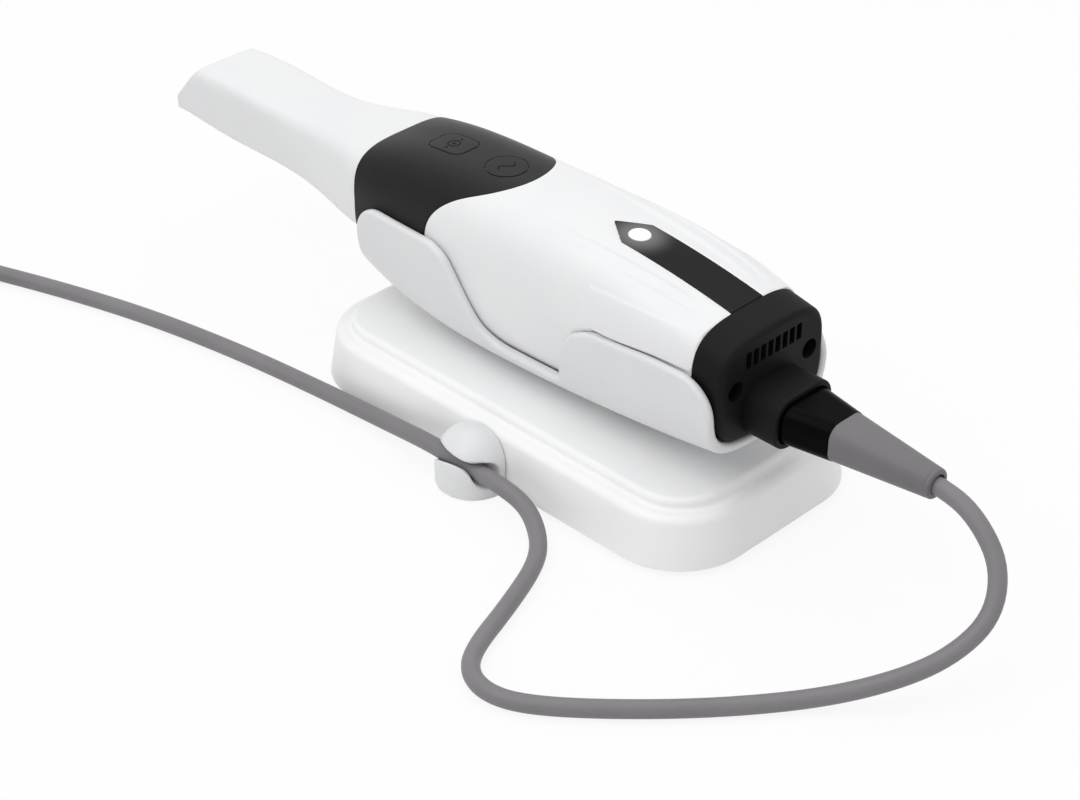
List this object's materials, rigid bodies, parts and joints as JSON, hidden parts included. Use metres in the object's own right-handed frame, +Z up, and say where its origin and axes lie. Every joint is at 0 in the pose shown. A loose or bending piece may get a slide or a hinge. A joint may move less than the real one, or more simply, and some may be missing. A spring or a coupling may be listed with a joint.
{
  "type": "intraoral scanner",
  "caption": "Corded dental hand scanner with a removable slanted tip, lying in a weighted desk cradle whose side clip holds its lead.",
  "frame": {"origin": "middle of the anti-slip pad's underside, on the table under the cradle base", "axes": "+X along the handset towards its lead, +Y away from the cable clip, +Z up"},
  "size_m": [0.3907, 0.1884, 0.0699],
  "materials": {
    "white_housing": "satin",
    "soft_cover": "soft matt",
    "soft_key": "soft matt",
    "switch_plastic": "matt",
    "circuit_board": "satin",
    "gloss_strip": "gloss",
    "light_lens": "lit diffuser",
    "black_cap": "matt",
    "dark_steel": "blackened",
    "frame_metal": "bead blasted",
    "module_metal": "black anodised",
    "clear_glass": "polished",
    "white_tip": "satin",
    "mirror_plate": "polished",
    "gloss_plug": "gloss",
    "grey_boot": "satin",
    "grey_jacket": "satin",
    "tie_fabric": "woven",
    "plated_shell": "plated",
    "white_cradle": "satin",
    "base_plastic": "matt",
    "pad_rubber": "matt",
    "cast_weight": "as cast"
  },
  "bodies": {
    "scanner": {"body_shell": "white_housing", "grip_cover": "soft_cover", "key_switches": "switch_plastic", "key_board": "circuit_board", "status_strip": "gloss_strip", "status_light": "light_lens", "rear_cap": "black_cap", "cap_screws": "dark_steel", "cable_receptacle": "black_cap", "inner_frame": "frame_metal", "main_board": "circuit_board", "heat_sink": "frame_metal", "fan_frame": "switch_plastic", "camera_module": "module_metal", "projector_module": "module_metal", "nose": "white_housing", "nose_glass": "clear_glass", "cable_plug": "gloss_plug", "cable_boot": "grey_boot", "cable": "grey_jacket", "cable_coil": "grey_jacket", "cable_tail": "grey_jacket", "cable_tie": "tie_fabric", "end_plug": "grey_boot", "end_shell": "plated_shell", "saddle": "white_cradle", "saddle_screws": "dark_steel", "base_shell": "white_cradle", "base_plate": "base_plastic", "anti_slip_pad": "pad_rubber", "base_screws": "dark_steel", "ballast": "cast_weight", "cable_clip": "white_cradle"},
    "scan_key": {"scan_key": "soft_key"},
    "mode_key": {"mode_key": "soft_key"},
    "tip": {"tip_sleeve": "white_tip", "tip_mirror": "mirror_plate"},
    "rotor": {"fan_rotor": "switch_plastic"}
  },
  "joints": [
    {"name": "scan_key_press", "type": "slide", "parent": "scanner", "child": "scan_key", "axis": [0, 0, -1], "range_m": [0, 0.0005], "stiffness_N_per_m": 400},
    {"name": "mode_key_press", "type": "slide", "parent": "scanner", "child": "mode_key", "axis": [0, 0, -1], "range_m": [0, 0.0005], "stiffness_N_per_m": 400},
    {"name": "tip_slide", "type": "slide", "parent": "scanner", "child": "tip", "axis": [-1, 0, 0], "range_m": [0, 0.04]},
    {"name": "fan_spin", "type": "hinge", "parent": "scanner", "child": "rotor", "pos_m": [0.0515, 0, 0.049], "axis": [1, 0, 0], "continuous": true}
  ]
}
